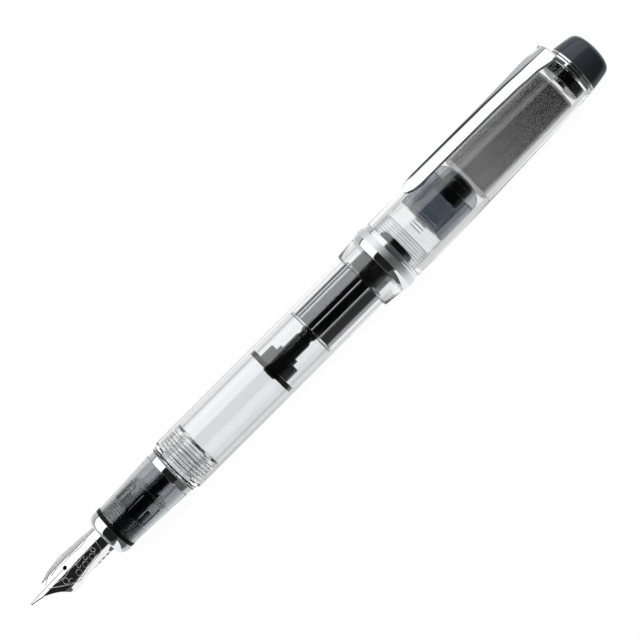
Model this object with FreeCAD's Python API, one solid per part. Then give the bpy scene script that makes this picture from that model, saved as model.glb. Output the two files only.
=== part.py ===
import FreeCAD, Part
import math
import os

# Clear-bodied cartridge and converter fountain pen, with its cap posted on the
# barrel's tail.  Millimetres.  The pen lies along X with the nib's point at -X,
# and the cap's clip is on top, at +Z.  The row's origin is below the middle of
# the pen, on the surface that it lies on.

V = FreeCAD.Vector

# ---------------------------------------------------------------- driving sizes
BAND_RADIUS = 6.40          # the cap band is the widest ring, so the axis lies this high
NIB_POINT_X = -67.0
FINIAL_END_X = 67.0

# Gaps between pieces
GLUED_GAP = 0.02            # between two pieces of one body that are fixed together
RUNNING_GAP = 0.06          # between a turning or sliding piece and its bore

# Section: the part that the fingers hold
SECTION_FRONT_X = -50.0
FRONT_RING_BACK_X = -47.95
SECTION_RING_BACK_X = -47.25
GRIP_BACK_X = -35.2
COLLAR_BACK_X = -33.9
SECTION_BACK_X = -32.4      # where the barrel's front edge meets the section
THREAD_BACK_X = -28.95
GRIP_BORE = 3.50
NIB_SEAT_RADIUS = 2.95      # bore that holds the nib and the feed
THREAD_CREST_RADIUS = 4.66
THREAD_ROOT_RADIUS = 4.36
THREAD_PITCH = 0.68
NIPPLE_RADIUS = 2.10
NIPPLE_BORE = 1.20
NIPPLE_BACK_X = -30.6

# Nib and feed.  The nib group is rolled about the pen's axis against the clip,
# because a posted cap can point any way.
NIB_ROLL = 23.0
NIB_SHEET = 0.30
NIB_TUBE_RADIUS = 2.90
NIB_SHOULDER_X = -59.8
NIB_SHOULDER_HALF_WIDTH = 3.42
NIB_BACK_X = -44.0
SLIT_WIDTH = 0.10
BREATHER_X = -58.2
BREATHER_RADIUS = 0.40
FEED_BACK_X = -38.5
FEED_TAIL_X = -34.0           # a thin tail carries the ink channel on to the converter
FEED_TAIL_RADIUS = 1.10
FEED_TIP_X = -62.6
FEED_FIN_PITCH = 1.0
FEED_FIN_COUNT = 6

# Barrel
BARREL_RADIUS = 5.25
BARREL_BORE = 4.72
BARREL_TAPER_X = 11.0       # the tail tapers from here, so that the cap can be posted
BARREL_TAIL_X = 25.2
BARREL_TAIL_RADIUS = 4.92
TAIL_SLEEVE_X = 25.5        # a dark sleeve, and behind it a paler rounded plug, end the barrel
TAIL_SLEEVE_BACK_X = 32.8
TAIL_END_X = 35.9
TAIL_PLUG_RADIUS = 4.88
BARREL_CLOSED_X = 22.3      # the barrel is solid behind this, and ends in a threaded stub
STUB_RADIUS = 3.20
STUB_ROOT_RADIUS = 2.95
STUB_PITCH = 0.60
STUB_END_X = 30.8
TAIL_CORE_X = 30.9
TAIL_CORE_RADIUS = 2.55
TAIL_CORE_END_X = 35.2

# Converter: the refillable ink reservoir
CONVERTER_RADIUS = 4.62
RESERVOIR_BORE = 3.85
RESERVOIR_FRONT_X = -28.8
SLEEVE_RADIUS = 4.25
SLEEVE_BORE = 3.97
SLEEVE_FRONT_X = -0.5
SLEEVE_BACK_X = 12.2
SLEEVE_GAP_WIDTH = 1.77     # the sleeve is rolled from sheet and stays open along one side
SLEEVE_GAP_TURN = 60.0      # where that gap is, in degrees from the clip's side towards -Y
SCREW_TUBE_BACK_X = 10.1
SCREW_TUBE_BORE = 3.62
KNOB_RADIUS = 3.50
KNOB_BACK_X = 20.2
PISTON_FRONT_X = -10.65
PISTON_BACK_X = -9.70
HOLDER_RADIUS = 3.14
ROD_RADIUS = 1.50
ROD_TAIL_RADIUS = 1.57
ROD_END_X = 17.6
ROD_BORE = 1.00
SCREW_RADIUS = 0.92

# Cap
CAP_MOUTH_X = 11.3
CAP_MOUTH_BORE = 5.36
CAP_MID_BORE = 5.04
CAP_STEP_X = 36.1
CAP_TOP_X = 60.6
BAND_FRONT_X = 15.1
BAND_BACK_X = 18.8
BAND_SEAM_TURN = 2.25       # degrees from the band's lowest line to the seam of its round faces
INNER_CAP_END_X = 57.2
CLIP_RING_BACK_X = 61.35
TRIM_RING_FRONT_X = 61.50
FINIAL_FRONT_X = 61.90
CAP_TOP_RADIUS = 5.00
STUD_RADIUS = 1.60

# Clip
CLIP_TIP_X = 26.5
CLIP_LINE = 7.60            # height of the clip's outer face above the axis
CLIP_SHEET = 0.70
CLIP_HINGE_HEIGHT = 5.45


# ------------------------------------------------------------------ shape tools
def turned(profile):
    """A solid of revolution about X from a closed outline of (x, radius) points."""
    points = [V(x, 0, r) for x, r in profile]
    points.append(points[0])
    face = Part.Face(Part.makePolygon(points))
    return face.revolve(V(0, 0, 0), V(1, 0, 0), 360)


def turned_smooth(outer, inner):
    """A turned solid whose outer line is one smooth curve and whose inner line is straight runs."""
    curve = Part.BSplineCurve()
    curve.interpolate([V(x, 0, r) for x, r in outer])
    back = [V(x, 0, r) for x, r in reversed(inner)]
    line = [V(outer[-1][0], 0, outer[-1][1])] + back + [V(outer[0][0], 0, outer[0][1])]
    edges = [curve.toShape()]
    for start, end in zip(line, line[1:]):
        edges.append(Part.LineSegment(start, end).toShape())
    face = Part.Face(Part.Wire(edges))
    return face.revolve(V(0, 0, 0), V(1, 0, 0), 360)


def ring(x0, x1, r_in, r_out, chamfer):
    """A plain turned ring, with its two outer edges chamfered."""
    return turned([
        (x0, r_in),
        (x0, r_out - chamfer),
        (x0 + chamfer, r_out),
        (x1 - chamfer, r_out),
        (x1, r_out - chamfer),
        (x1, r_in),
    ])


def rod(x0, x1, radius):
    return Part.makeCylinder(radius, x1 - x0, V(x0, 0, 0), V(1, 0, 0))


def ridges(x0, x1, pitch, r_root, r_crest):
    """The zigzag line of a fine thread or a set of ribs, as (x, radius) points."""
    count = int((x1 - x0) / pitch)
    points = []
    for i in range(count):
        start = x0 + i * pitch
        points.append((start, r_root))
        points.append((start + pitch * 0.35, r_crest))
        points.append((start + pitch * 0.60, r_crest))
        points.append((start + pitch * 0.95, r_root))
    return points


def block(x0, x1, y0, y1, z0, z1):
    return Part.makeBox(x1 - x0, y1 - y0, z1 - z0, V(x0, y0, z0))


def rolled(shape, degrees):
    """The shape turned about the pen's axis; positive brings its top towards -Y."""
    turned_shape = shape.copy()
    turned_shape.rotate(V(0, 0, 0), V(1, 0, 0), degrees)
    return turned_shape


def flutes(count, circle, radius, x0, length):
    """Round-bottomed grooves along the pen, spread evenly round a knob or core."""
    cutters = []
    for i in range(count):
        angle = 2 * math.pi * i / count
        centre = V(x0, circle * math.cos(angle), circle * math.sin(angle))
        cutters.append(Part.makeCylinder(radius, length, centre, V(1, 0, 0)))
    return Part.makeCompound(cutters)


# ---------------------------------------------------------------- nib and feed
def nib_station(x, radius, top, half_angle, inner_offset, outer_offset):
    """One cross-section of the nib's curved sheet, as a closed wire in the plane at x."""
    centre = top - radius
    outer = radius + outer_offset
    inner = radius - inner_offset
    angle = math.radians(half_angle)

    def point(r, a):
        return V(x, r * math.sin(a), centre + r * math.cos(a))

    edges = [
        Part.Arc(point(outer, -angle), point(outer, 0), point(outer, angle)).toShape(),
        Part.LineSegment(point(outer, angle), point(inner, angle)).toShape(),
        Part.Arc(point(inner, angle), point(inner, 0), point(inner, -angle)).toShape(),
        Part.LineSegment(point(inner, -angle), point(outer, -angle)).toShape(),
    ]
    return Part.Wire(edges)


# (x, radius of the arch, height of its top line, half angle of the arch)
NIB_STATIONS = [
    (NIB_BACK_X, NIB_TUBE_RADIUS, NIB_TUBE_RADIUS, 74),
    (-53.0, NIB_TUBE_RADIUS, NIB_TUBE_RADIUS - 0.02, 74),
    (NIB_SHOULDER_X, 3.70, 2.66, 69),
    (-64.2, 3.30, 2.34, 45),
    (NIB_POINT_X, 2.60, 2.05, 30),
]


def nib_sheet(inner_offset, outer_offset):
    wires = [nib_station(x, r, top, angle, inner_offset, outer_offset)
             for x, r, top, angle in NIB_STATIONS]
    return Part.makeLoft(wires, True, True)


def nib_outline():
    """The plan outline of the nib, from its back edge to its point."""
    half = [
        (-55.5, 2.98),
        (-57.6, 3.12),
        (-59.2, 3.40),
        (-60.0, NIB_SHOULDER_HALF_WIDTH - 0.12),
        (-61.1, 2.50),
        (-62.8, 1.44),
        (-64.6, 0.60),
        (-66.6, 0.24),
    ]
    side = [V(x, y, 0) for x, y in half]
    curve = Part.BSplineCurve()
    curve.interpolate(side)
    other = Part.BSplineCurve()
    other.interpolate([V(p.x, -p.y, 0) for p in reversed(side)])
    back_far = V(NIB_BACK_X + 1, half[0][1], 0)
    back_near = V(NIB_BACK_X + 1, -half[0][1], 0)
    point_arc = Part.Arc(side[-1], V(NIB_POINT_X, 0, 0), V(side[-1].x, -side[-1].y, 0))
    edges = [
        Part.LineSegment(back_far, side[0]).toShape(),
        curve.toShape(),
        point_arc.toShape(),
        other.toShape(),
        Part.LineSegment(V(side[0].x, -side[0].y, 0), back_near).toShape(),
        Part.LineSegment(back_near, back_far).toShape(),
    ]
    return Part.Face(Part.Wire(edges)).extrude(V(0, 0, 6))


def make_nib():
    nib = nib_sheet(NIB_SHEET, 0.0).common(nib_outline())
    slit = block(NIB_POINT_X - 1, BREATHER_X, -SLIT_WIDTH / 2, SLIT_WIDTH / 2, 0, 5)
    breather = Part.makeCylinder(BREATHER_RADIUS, 5, V(BREATHER_X, 0, 0), V(0, 0, 1))
    nib = nib.cut(slit).cut(breather)
    return rolled(nib, NIB_ROLL)


def make_feed():
    fin_front = SECTION_FRONT_X - 0.5 - FEED_FIN_COUNT * FEED_FIN_PITCH
    outline = [(FEED_TIP_X, 0), (FEED_TIP_X, 2.45), (fin_front, 2.45)]
    for i in range(FEED_FIN_COUNT):
        start = fin_front + i * FEED_FIN_PITCH
        outline += [
            (start, 1.7),
            (start + 0.45 * FEED_FIN_PITCH, 1.7),
            (start + 0.45 * FEED_FIN_PITCH, 2.45),
            (start + FEED_FIN_PITCH, 2.45),
        ]
    outline += [
        (SECTION_FRONT_X - 0.5, 2.55),
        (-41.5, 2.55),
        (-41.5, 1.55),
        (FEED_BACK_X, 1.55),
        (FEED_BACK_X, FEED_TAIL_RADIUS),
        (FEED_TAIL_X, FEED_TAIL_RADIUS),
        (FEED_TAIL_X, 0),
    ]
    body = turned(outline)
    # The front rises to the nib's underside and narrows with the nib.
    side = [
        V(FEED_TIP_X, -4, 1.75),
        V(FEED_TIP_X + 1.6, -4, 0.55),
        V(FEED_TIP_X + 4.2, -4, -1.2),
        V(-56.9, -4, -2.6),
        V(FEED_TAIL_X + 1, -4, -2.8),
        V(FEED_TAIL_X + 1, -4, 2.8),
        V(FEED_TIP_X, -4, 2.8),
    ]
    side.append(side[0])
    side_mask = Part.Face(Part.makePolygon(side)).extrude(V(0, 8, 0))
    plan = [
        V(FEED_TIP_X, 0.45, -4),
        V(-59.5, 1.75, -4),
        V(-57.0, 2.8, -4),
        V(FEED_TAIL_X + 1, 2.8, -4),
        V(FEED_TAIL_X + 1, -2.8, -4),
        V(-57.0, -2.8, -4),
        V(-59.5, -1.75, -4),
        V(FEED_TIP_X, -0.45, -4),
    ]
    plan.append(plan[0])
    plan_mask = Part.Face(Part.makePolygon(plan)).extrude(V(0, 0, 8))
    above_nib = nib_sheet(NIB_SHEET + GLUED_GAP, 3.0)
    feed = body.common(side_mask).common(plan_mask).cut(above_nib)
    channel = block(FEED_TIP_X - 1, FEED_BACK_X + 1, -0.15, 0.15, 1.2, 4)
    return rolled(feed.cut(channel), NIB_ROLL)


# -------------------------------------------------------------------- section
def make_front_ring():
    return turned_smooth(
        [(SECTION_FRONT_X, 3.72), (-49.75, 3.98), (-49.3, 4.26), (-48.65, 4.39), (FRONT_RING_BACK_X, 4.33)],
        [(SECTION_FRONT_X, NIB_SEAT_RADIUS), (FRONT_RING_BACK_X, NIB_SEAT_RADIUS)])


def make_section_ring():
    return ring(FRONT_RING_BACK_X + GLUED_GAP, SECTION_RING_BACK_X - GLUED_GAP, NIB_SEAT_RADIUS, 4.27, 0.05)


def make_grip_shell():
    return turned_smooth(
        [(SECTION_RING_BACK_X, 4.24), (-45.8, 4.20), (-42.4, 4.34), (-39.0, 4.53), (GRIP_BACK_X, 4.68)],
        [(SECTION_RING_BACK_X, GRIP_BORE), (GRIP_BACK_X, GRIP_BORE)])


def make_feed_housing():
    outer = GRIP_BORE - GLUED_GAP
    profile = [(SECTION_RING_BACK_X, NIB_SEAT_RADIUS), (SECTION_RING_BACK_X, outer), (-46.8, outer)]
    profile += ridges(-46.6, -44.1, 0.5, 3.15, outer)
    profile += [
        (-44.0, 3.25),
        (-39.6, 3.25),
        (-39.6, outer),
        (-38.9, outer),
        (-38.9, 2.60),
        (COLLAR_BACK_X, 2.60),
        (COLLAR_BACK_X, 1.20),
        (FEED_BACK_X + 0.1, 1.20),
        (FEED_BACK_X + 0.1, 1.60),
        (-41.4, 1.60),
        (-41.4, NIB_SEAT_RADIUS),
    ]
    housing = turned(profile)
    window = block(-43.7, -40.0, 1.0, 2.6, -4.0, 4.0)
    windows = window.fuse(block(-43.7, -40.0, -2.6, -1.0, -4.0, 4.0))
    pocket_floor = rod(-44.0, -39.7, 3.05)
    return rolled(housing.cut(windows.cut(pocket_floor)), NIB_ROLL)


def make_section_collar():
    return turned_smooth(
        [(GRIP_BACK_X + GLUED_GAP, 4.68), (-34.6, 4.71), (COLLAR_BACK_X, 4.74)],
        [(GRIP_BACK_X + GLUED_GAP, 3.50), (COLLAR_BACK_X, 3.50)])


def make_section_thread():
    """The threaded ring that the barrel screws on to, with a nipple inside it for the converter."""
    web_back = COLLAR_BACK_X + 0.40
    profile = [
        (COLLAR_BACK_X + GLUED_GAP, NIPPLE_BORE),
        (COLLAR_BACK_X + GLUED_GAP, 4.76),
        (-33.2, 4.86),
        (SECTION_BACK_X - 0.35, 5.17),
        (SECTION_BACK_X - RUNNING_GAP, 5.20),
        (SECTION_BACK_X - RUNNING_GAP, THREAD_ROOT_RADIUS),
    ]
    profile += ridges(-31.9, THREAD_BACK_X - 0.2, THREAD_PITCH, THREAD_ROOT_RADIUS, THREAD_CREST_RADIUS)
    profile += [
        (THREAD_BACK_X, THREAD_ROOT_RADIUS - 0.1),
        (THREAD_BACK_X, 3.50),
        (web_back, 3.50),
        (web_back, NIPPLE_RADIUS),
        (NIPPLE_BACK_X, NIPPLE_RADIUS),
        (NIPPLE_BACK_X, NIPPLE_BORE),
    ]
    return turned(profile)


# ------------------------------------------------------------------ converter
def make_reservoir():
    spigot = SLEEVE_BORE - GLUED_GAP
    return turned([
        (-33.4, 2.60),
        (-33.4, 3.30),
        (-29.6, 3.30),
        (RESERVOIR_FRONT_X, 3.42),
        (RESERVOIR_FRONT_X, 4.45),
        (RESERVOIR_FRONT_X + 0.17, CONVERTER_RADIUS),
        (SLEEVE_FRONT_X - GLUED_GAP - 0.12, CONVERTER_RADIUS),
        (SLEEVE_FRONT_X - GLUED_GAP, CONVERTER_RADIUS - 0.12),
        (SLEEVE_FRONT_X - GLUED_GAP, spigot),
        (0.9, spigot),
        (0.9, RESERVOIR_BORE - 0.12),
        (-0.9, RESERVOIR_BORE - 0.12),
        (-1.0, RESERVOIR_BORE),
        (-27.5, RESERVOIR_BORE),
        (-27.9, 2.60),
    ])


def make_converter_mouth():
    return ring(-33.3, -27.95, NIPPLE_RADIUS + GLUED_GAP, 2.60 - GLUED_GAP, 0.1)


def make_guide_bush():
    """The bush that guides the piston rod, with a thin tube that lines the sleeve behind it."""
    hole = ROD_TAIL_RADIUS + RUNNING_GAP
    plug = RESERVOIR_BORE - 0.12 - GLUED_GAP
    tube = SLEEVE_BORE - GLUED_GAP
    return turned([
        (-0.4, hole),
        (-0.4, plug),
        (0.92, plug),
        (0.92, tube),
        (SCREW_TUBE_BACK_X, tube),
        (SCREW_TUBE_BACK_X, SCREW_TUBE_BORE),
        (2.6, SCREW_TUBE_BORE),
        (2.6, hole),
    ])


def make_sleeve():
    sleeve = turned([
        (SLEEVE_FRONT_X, SLEEVE_BORE),
        (SLEEVE_FRONT_X, SLEEVE_RADIUS - 0.1),
        (SLEEVE_FRONT_X + 0.1, SLEEVE_RADIUS),
        (SLEEVE_BACK_X - 0.25, SLEEVE_RADIUS),
        (SLEEVE_BACK_X, SLEEVE_RADIUS - 0.25),
        (SLEEVE_BACK_X, 2.60),
        (SLEEVE_BACK_X - 0.6, 2.60),
        (SLEEVE_BACK_X - 0.6, SLEEVE_BORE),
    ])
    half_gap = SLEEVE_GAP_WIDTH / 2
    gap = block(SLEEVE_FRONT_X - 1, SLEEVE_BACK_X - 0.8, -half_gap, half_gap, 3, 5)
    return sleeve.cut(rolled(gap, SLEEVE_GAP_TURN))


def make_knob():
    """A collar held inside the sleeve's mouth and a ribbed knob behind it, as one piece."""
    collar_back = SLEEVE_BACK_X - 0.6 - RUNNING_GAP
    collar_front = collar_back - 1.2
    rod_room = ROD_TAIL_RADIUS + RUNNING_GAP
    screw_seat = SCREW_RADIUS - 0.12 + GLUED_GAP
    knob = turned([
        (collar_front, rod_room),
        (collar_front, 3.70),
        (collar_back, 3.70),
        (collar_back, 2.60 - RUNNING_GAP),
        (SLEEVE_BACK_X + RUNNING_GAP, 2.60 - RUNNING_GAP),
        (SLEEVE_BACK_X + RUNNING_GAP, KNOB_RADIUS - 0.2),
        (SLEEVE_BACK_X + 0.30, KNOB_RADIUS),
        (KNOB_BACK_X - 0.5, KNOB_RADIUS - 0.1),
        (KNOB_BACK_X, KNOB_RADIUS - 0.6),
        (KNOB_BACK_X, screw_seat),
        (ROD_END_X + 0.2, screw_seat),
        (ROD_END_X + 0.2, rod_room),
    ])
    return knob.cut(flutes(24, KNOB_RADIUS + 0.15, 0.28, SLEEVE_BACK_X + 1.4, 7.0))


def make_drive_screw():
    core = SCREW_RADIUS - 0.12
    profile = [(-0.5, 0.0), (-0.5, 0.66)]
    profile += ridges(-0.4, ROD_END_X, 1.25, 0.66, SCREW_RADIUS)
    profile += [(ROD_END_X, core), (KNOB_BACK_X - 0.1, core), (KNOB_BACK_X - 0.1, 0.0)]
    return turned(profile)


def make_piston_seal():
    lip = RESERVOIR_BORE - 0.02
    return turned([
        (PISTON_FRONT_X, 1.30 + GLUED_GAP),
        (PISTON_FRONT_X, lip - 0.22),
        (PISTON_FRONT_X + 0.12, lip),
        (PISTON_FRONT_X + 0.30, lip),
        (PISTON_FRONT_X + 0.42, lip - 0.18),
        (PISTON_BACK_X - 0.42, lip - 0.18),
        (PISTON_BACK_X - 0.30, lip),
        (PISTON_BACK_X - 0.12, lip),
        (PISTON_BACK_X, lip - 0.22),
        (PISTON_BACK_X, 1.30 + GLUED_GAP),
    ])


def make_piston_holder():
    return turned([
        (-11.0, 0.0),
        (-11.0, 1.10),
        (-10.8, 1.30),
        (PISTON_BACK_X + GLUED_GAP, 1.30),
        (PISTON_BACK_X + GLUED_GAP, HOLDER_RADIUS - 0.12),
        (-9.5, HOLDER_RADIUS),
        (-7.05, HOLDER_RADIUS),
        (-6.9, HOLDER_RADIUS - 0.15),
        (-6.9, 2.00),
        (-5.9, 2.00),
        (-5.9, 1.20),
        (-8.0, 1.20),
        (-8.0, 0.0),
    ])


def make_piston_rod():
    return turned([
        (-7.9, ROD_BORE),
        (-7.9, 1.18),
        (-5.88, 1.18),
        (-5.88, ROD_RADIUS),
        (-2.6, ROD_RADIUS),
        (-2.2, 1.24),
        (-1.9, 1.24),
        (-1.4, ROD_TAIL_RADIUS),
        (ROD_END_X, ROD_TAIL_RADIUS),
        (ROD_END_X, ROD_BORE),
    ])


# --------------------------------------------------------------------- barrel
def make_barrel():
    outer = [
        (SECTION_BACK_X, BARREL_RADIUS - 0.05),
        (SECTION_BACK_X + 0.1, BARREL_RADIUS),
        (BARREL_TAPER_X, BARREL_RADIUS),
        (BARREL_TAIL_X, BARREL_TAIL_RADIUS),
    ]
    stub = [(BARREL_TAIL_X, STUB_ROOT_RADIUS)]
    stub += ridges(TAIL_SLEEVE_X, STUB_END_X, STUB_PITCH, STUB_ROOT_RADIUS, STUB_RADIUS)
    stub += [(STUB_END_X, STUB_ROOT_RADIUS), (STUB_END_X, 0)]
    inner = [(BARREL_CLOSED_X, 0), (BARREL_CLOSED_X, 4.40)]
    inner += list(reversed(ridges(19.2, 22.2, 0.50, 4.42, 4.56)))
    inner += [
        (19.1, 4.42),
        (SLEEVE_BACK_X + 0.3, BARREL_BORE),
        (SECTION_BACK_X, BARREL_BORE),
    ]
    return turned(outer + stub + inner)


def make_tail_sleeve():
    bore = STUB_RADIUS + GLUED_GAP
    return ring(TAIL_SLEEVE_X, TAIL_SLEEVE_BACK_X, bore, TAIL_PLUG_RADIUS, 0.05)


def make_tail_plug():
    """The rounded end of the barrel: a cup whose open side faces the barrel."""
    front = TAIL_SLEEVE_BACK_X + GLUED_GAP
    shoulder = V(33.4, 0, TAIL_PLUG_RADIUS)
    crown = V(TAIL_END_X, 0, 1.6)
    line = [
        crown,
        V(TAIL_END_X, 0, 0),
        V(TAIL_CORE_END_X + GLUED_GAP, 0, 0),
        V(TAIL_CORE_END_X + GLUED_GAP, 0, TAIL_CORE_RADIUS + 0.1),
        V(front, 0, TAIL_CORE_RADIUS + 0.1),
        V(front, 0, TAIL_PLUG_RADIUS),
        shoulder,
    ]
    edges = [Part.Arc(shoulder, V(35.35, 0, 3.72), crown).toShape()]
    for start, end in zip(line, line[1:]):
        edges.append(Part.LineSegment(start, end).toShape())
    face = Part.Face(Part.Wire(Part.__sortEdges__(edges)))
    return face.revolve(V(0, 0, 0), V(1, 0, 0), 360)


def make_tail_core():
    """The fluted core that holds the rounded plug."""
    core = rod(TAIL_CORE_X, TAIL_CORE_END_X, TAIL_CORE_RADIUS)
    return core.cut(flutes(12, TAIL_CORE_RADIUS + 0.07, 0.30, TAIL_CORE_X + 0.4, 6.0))


# ------------------------------------------------------------------------ cap
def make_cap_body():
    return turned([
        (CAP_MOUTH_X, CAP_MOUTH_BORE + 0.15),
        (CAP_MOUTH_X, 5.68),
        (CAP_MOUTH_X + 0.15, 5.80),
        (BAND_FRONT_X - GLUED_GAP, 6.06),
        (BAND_FRONT_X - GLUED_GAP, 5.90),
        (BAND_BACK_X + GLUED_GAP, 5.90),
        (BAND_BACK_X + GLUED_GAP, 6.13),
        (26.2, 6.12),
        (35.5, 5.92),
        (45.8, 5.58),
        (55.8, 5.27),
        (CAP_TOP_X, CAP_TOP_RADIUS),
        (CAP_TOP_X, STUD_RADIUS + 0.2),
        (60.3, STUD_RADIUS + 0.2),
        (60.3, 4.10),
        (INNER_CAP_END_X, 4.24),
        (CAP_STEP_X, 4.66),
        (CAP_STEP_X, CAP_MID_BORE),
        (26.0, CAP_MID_BORE),
        (CAP_MOUTH_X + 0.15, CAP_MOUTH_BORE),
    ])


def make_cap_band():
    band = turned([
        (BAND_FRONT_X, 5.90 + GLUED_GAP),
        (BAND_FRONT_X, 6.18),
        (BAND_FRONT_X + 0.35, 6.31),
        (16.2, BAND_RADIUS),
        (17.2, 6.34),
        (17.75, 6.26),
        (17.85, 6.18),
        (17.95, 6.26),
        (18.2, 6.26),
        (18.3, 6.18),
        (18.4, 6.26),
        (BAND_BACK_X - 0.1, 6.24),
        (BAND_BACK_X, 6.16),
        (BAND_BACK_X, 5.90 + GLUED_GAP),
    ])
    band.rotate(V(0, 0, 0), V(1, 0, 0), BAND_SEAM_TURN)
    return band


def make_inner_cap():
    """The tinted liner that seals the nib when the pen is capped, closed at its far end."""
    x0 = CAP_STEP_X
    return turned([
        (x0, 4.06),
        (x0, 4.60),
        (x0 + 0.05, 4.64),
        (39.6, 4.57),
        (39.7, 4.52),
        (INNER_CAP_END_X, 4.22 - GLUED_GAP),
        (INNER_CAP_END_X, 0.0),
        (INNER_CAP_END_X - 0.8, 0.0),
        (INNER_CAP_END_X - 0.8, 3.60),
        (39.7, 3.98),
        (x0 + 0.3, 4.00),
    ])


def make_cap_insert():
    profile = [(58.6, 1.30 + RUNNING_GAP), (58.6, 3.95)]
    profile += ridges(58.7, 60.2, 0.48, 3.80, 4.06)
    profile += [(60.28, 3.95), (60.28, 1.30 + RUNNING_GAP)]
    return turned(profile)


def make_clip_ring():
    return ring(CAP_TOP_X + GLUED_GAP, CLIP_RING_BACK_X, STUD_RADIUS + 0.1, 5.05, 0.12)


def make_trim_ring():
    return ring(TRIM_RING_FRONT_X, FINIAL_FRONT_X - GLUED_GAP, STUD_RADIUS + 0.1, 4.97, 0.1)


def make_gasket():
    return ring(CLIP_RING_BACK_X + GLUED_GAP, TRIM_RING_FRONT_X - GLUED_GAP, STUD_RADIUS + 0.1, 4.80, 0.02)


def make_finial():
    bore = STUD_RADIUS + GLUED_GAP
    return turned([
        (FINIAL_FRONT_X, bore),
        (FINIAL_FRONT_X, 4.92),
        (64.0, 4.62),
        (65.7, 4.27),
        (66.3, 3.85),
        (66.75, 2.90),
        (66.95, 1.50),
        (FINIAL_END_X, 0.0),
        (64.8, 0.0),
        (64.8, bore),
    ])


def make_finial_stud():
    return turned([
        (58.2, 0.0),
        (58.2, 1.30),
        (60.45, 1.30),
        (60.45, STUD_RADIUS),
        (64.7, STUD_RADIUS),
        (64.7, 0.0),
    ])


def clip_section(x, half_width, top, drop, sheet):
    """One arched cross-section of the clip's sheet, square to the pen's axis."""
    def point(y, z):
        return V(x, y, z)
    edge_top = top - drop
    under = top - sheet
    under_edge = edge_top - sheet
    edges = [
        Part.Arc(point(-half_width, edge_top), point(0, top), point(half_width, edge_top)).toShape(),
        Part.LineSegment(point(half_width, edge_top), point(half_width, under_edge)).toShape(),
        Part.Arc(point(half_width, under_edge), point(0, under), point(-half_width, under_edge)).toShape(),
        Part.LineSegment(point(-half_width, under_edge), point(-half_width, edge_top)).toShape(),
    ]
    return Part.Wire(edges)


def make_clip():
    """The clip's arm with its leg, which stands on the clip ring and flexes at its foot."""
    arm = Part.makeLoft([
        clip_section(CLIP_TIP_X + 3.6, 1.64, CLIP_LINE, 0.06, CLIP_SHEET),
        clip_section(36.0, 1.62, CLIP_LINE, 0.08, CLIP_SHEET),
        clip_section(46.0, 1.66, CLIP_LINE, 0.20, CLIP_SHEET),
        clip_section(54.0, 2.00, CLIP_LINE + 0.05, 0.45, CLIP_SHEET),
        clip_section(60.4, 2.60, CLIP_LINE + 0.15, 0.90, CLIP_SHEET),
    ], True, True)
    paddle_radius = 1.64
    paddle = Part.makeCylinder(paddle_radius, CLIP_SHEET, V(0, 0, 0), V(0, 0, 1))
    stretch = FreeCAD.Matrix()
    stretch.scale(V(3.6 / paddle_radius, 1, 1))
    paddle = paddle.transformGeometry(stretch)
    paddle.translate(V(CLIP_TIP_X + 3.6, 0, CLIP_LINE - CLIP_SHEET - 0.03))
    paddle = paddle.common(block(CLIP_TIP_X - 1, CLIP_TIP_X + 3.62, -3, 3, 0, 9))
    ball_height = CLIP_LINE - CLIP_SHEET
    ball = Part.makeSphere(0.62, V(CLIP_TIP_X + 3.3, 0, ball_height + 0.06))
    ball = ball.common(block(CLIP_TIP_X, CLIP_TIP_X + 6, -2, 2, 6.0, ball_height + 0.3))
    leg_outline = [
        V(60.3, -2.6, CLIP_LINE + 0.15),
        V(60.3, -2.6, 6.0),
        V(60.75, -2.6, CLIP_HINGE_HEIGHT - 0.30),
        V(61.30, -2.6, CLIP_HINGE_HEIGHT - 0.30),
        V(61.30, -2.6, 6.0),
        V(60.95, -2.6, CLIP_LINE + 0.15),
    ]
    leg_outline.append(leg_outline[0])
    leg = Part.Face(Part.makePolygon(leg_outline)).extrude(V(0, 5.2, 0))
    under_arch = rod(59.0, 62.0, 5.14)
    over_arch = Part.Face(clip_section(59.0, 2.60, CLIP_LINE + 0.15, 0.90, 6.0)).extrude(V(3, 0, 0))
    leg = leg.common(over_arch).cut(under_arch)
    return arm.fuse([paddle, ball, leg]).removeSplitter()


# ------------------------------------------------------------------- the pieces
MAKERS = {
    "nib": make_nib,
    "feed": make_feed,
    "front_ring": make_front_ring,
    "section_ring": make_section_ring,
    "grip_shell": make_grip_shell,
    "feed_housing": make_feed_housing,
    "section_collar": make_section_collar,
    "section_thread": make_section_thread,
    "converter_reservoir": make_reservoir,
    "converter_mouth": make_converter_mouth,
    "guide_bush": make_guide_bush,
    "converter_sleeve": make_sleeve,
    "converter_knob": make_knob,
    "drive_screw": make_drive_screw,
    "piston_seal": make_piston_seal,
    "piston_holder": make_piston_holder,
    "piston_rod": make_piston_rod,
    "barrel": make_barrel,
    "tail_sleeve": make_tail_sleeve,
    "tail_plug": make_tail_plug,
    "tail_core": make_tail_core,
    "cap_body": make_cap_body,
    "cap_band": make_cap_band,
    "inner_cap": make_inner_cap,
    "cap_insert": make_cap_insert,
    "clip_ring": make_clip_ring,
    "cap_gasket": make_gasket,
    "trim_ring": make_trim_ring,
    "finial": make_finial,
    "finial_stud": make_finial_stud,
    "clip": make_clip,
}

os.makedirs("parts", exist_ok=True)
for node, make in MAKERS.items():
    shape = make()
    shape.translate(V(0, 0, BAND_RADIUS))
    solids = shape.Solids
    whole = solids[0] if len(solids) == 1 else Part.makeCompound(solids)
    print(node, len(solids), round(whole.Volume, 3), whole.isValid())
    whole.exportStep("parts/" + node + ".step")
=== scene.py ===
import math

import bmesh
import bpy
from mathutils import Matrix, Vector


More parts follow.
